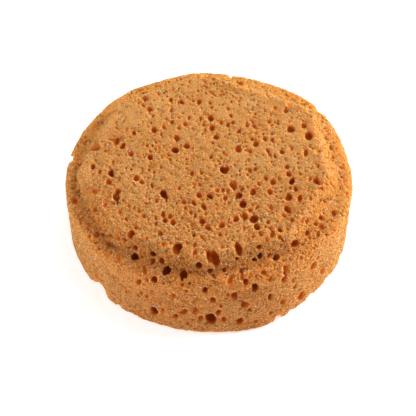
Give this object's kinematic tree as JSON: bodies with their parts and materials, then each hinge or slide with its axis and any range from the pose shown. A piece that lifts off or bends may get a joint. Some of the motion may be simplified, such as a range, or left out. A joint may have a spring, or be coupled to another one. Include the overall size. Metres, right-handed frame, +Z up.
{
  "type": "sea sponge",
  "caption": "Round fine-pored bath sponge, trimmed flat on top above a stepped ledge, with a straight wall and a flat cut base.",
  "frame": {"origin": "middle of the flat cut base", "axes": "+Z up out of the base, through the trimmed top; -Y is the front, where the step to the ledge is deepest"},
  "size_m": [0.1002, 0.0998, 0.0327],
  "materials": {
    "sponge": "dry, matt, finely granular sponge skeleton, tan with orange-brown pores"
  },
  "bodies": {
    "root": {"sponge_body": "sponge"}
  },
  "joints": []
}
